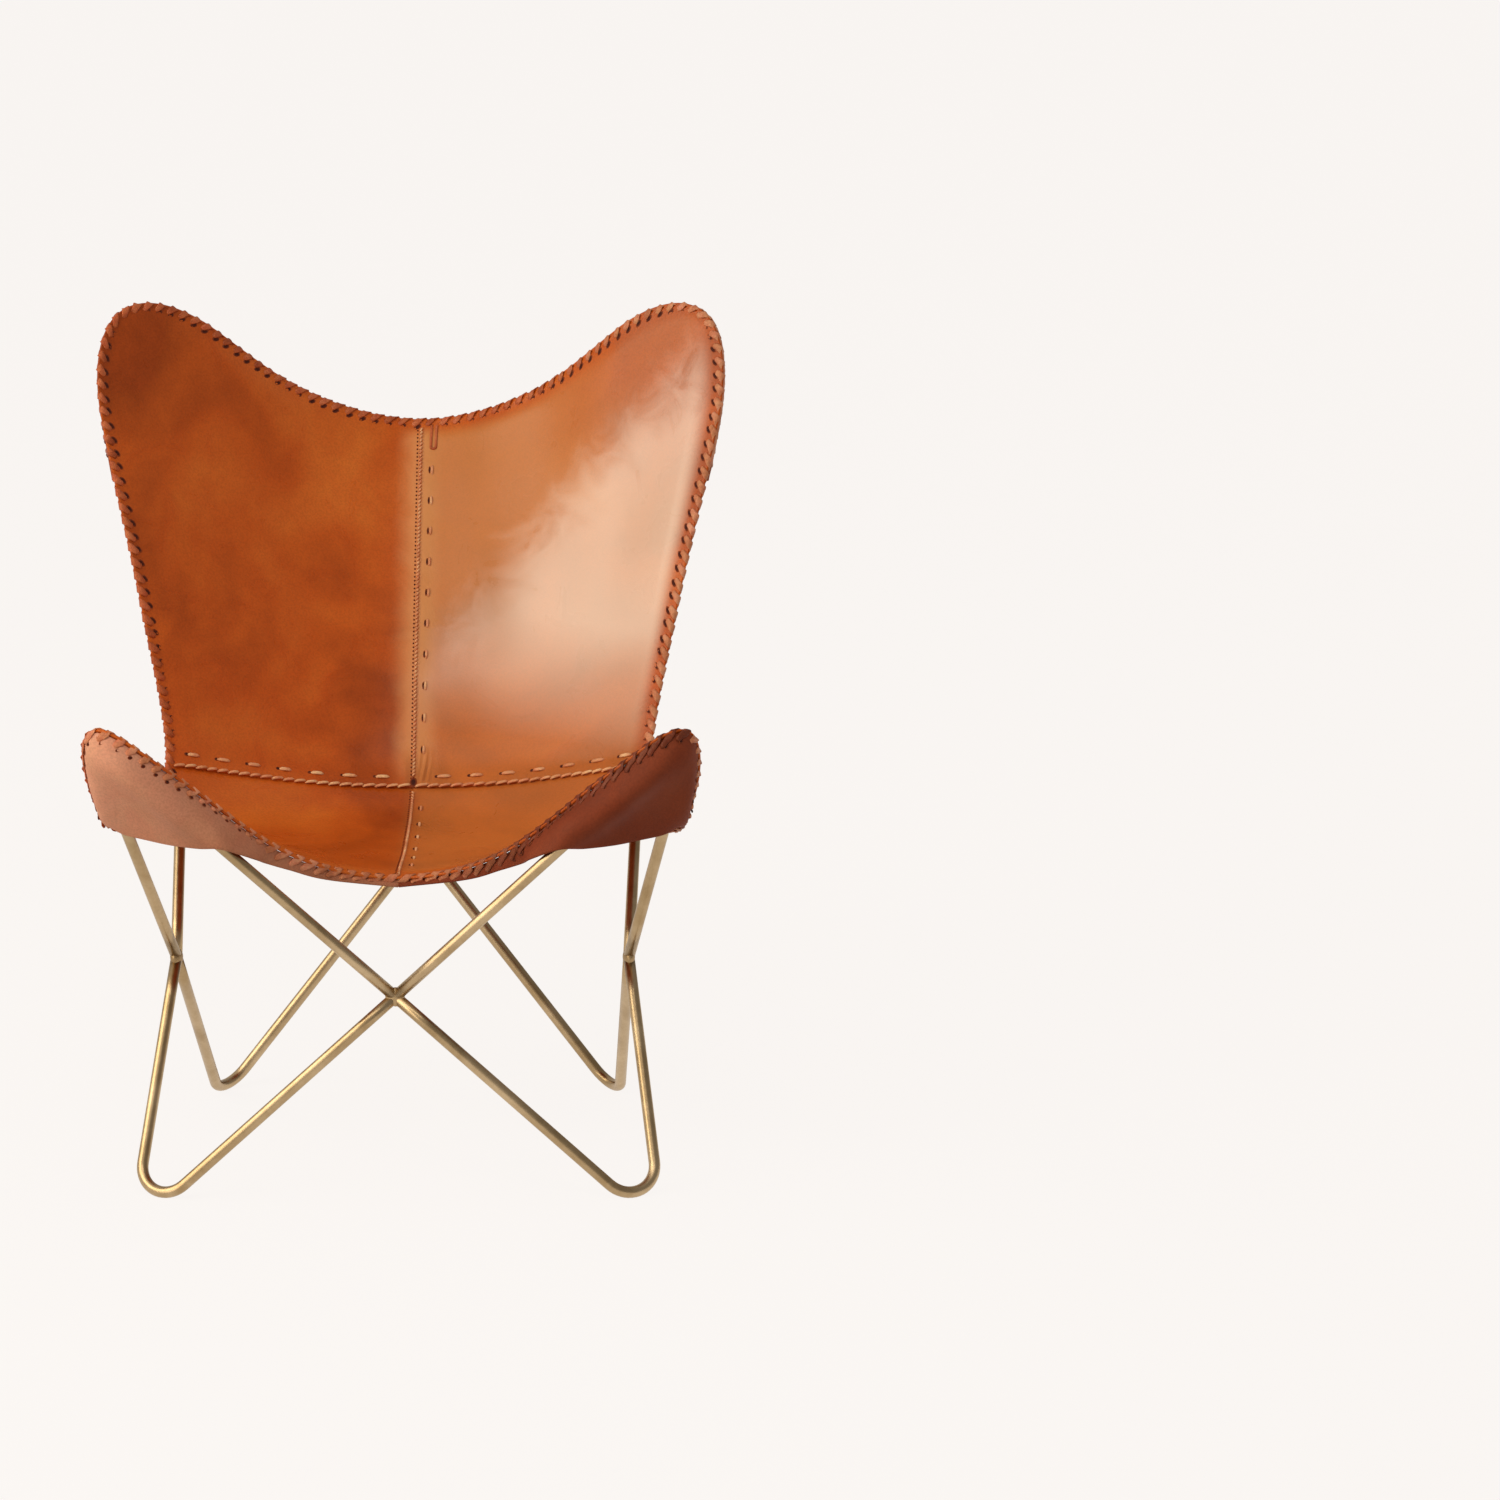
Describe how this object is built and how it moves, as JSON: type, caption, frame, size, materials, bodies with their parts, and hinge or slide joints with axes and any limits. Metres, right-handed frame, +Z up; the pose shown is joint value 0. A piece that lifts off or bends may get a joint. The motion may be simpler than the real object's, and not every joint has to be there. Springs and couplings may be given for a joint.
{
  "type": "butterfly sling chair",
  "caption": "Low lounge chair with a tan leather sling laced along its edges and seams, hung by corner pockets on a crossed frame of bent brass rod.",
  "frame": {"origin": "on the floor, under the middle of the chair's outer box", "axes": "+Z up, the sitter faces -Y, +X to the right seen from the front"},
  "size_m": [0.7136, 0.6706, 0.9082],
  "materials": {
    "rod_brass": "brushed, aged",
    "weld_brass": "ground, matt",
    "sling_leather": "waxed, satin",
    "pocket_leather": "dry, matt",
    "lace_leather": "satin"
  },
  "bodies": {
    "root": {"front_foot_rod_left": "rod_brass", "back_foot_rod_left": "rod_brass", "front_tip_rod_left": "rod_brass", "back_tip_rod_left": "rod_brass", "front_foot_rod_right": "rod_brass", "back_foot_rod_right": "rod_brass", "front_tip_rod_right": "rod_brass", "back_tip_rod_right": "rod_brass", "front_cross_weld": "weld_brass", "back_cross_weld": "weld_brass", "left_side_weld": "weld_brass", "right_side_weld": "weld_brass", "seat_panel_left": "sling_leather", "back_panel_left": "sling_leather", "front_pocket_left": "pocket_leather", "back_pocket_left": "pocket_leather", "seat_panel_right": "sling_leather", "back_panel_right": "sling_leather", "front_pocket_right": "pocket_leather", "back_pocket_right": "pocket_leather", "top_edge_lace": "lace_leather", "front_edge_lace": "lace_leather", "left_edge_lace": "lace_leather", "right_edge_lace": "lace_leather", "back_seam_lace": "lace_leather", "seat_seam_lace": "lace_leather", "cross_seam_lace": "lace_leather", "back_holding_lace": "lace_leather", "seat_holding_lace": "lace_leather", "cross_holding_lace_left": "lace_leather", "cross_holding_lace_right": "lace_leather"}
  },
  "joints": []
}
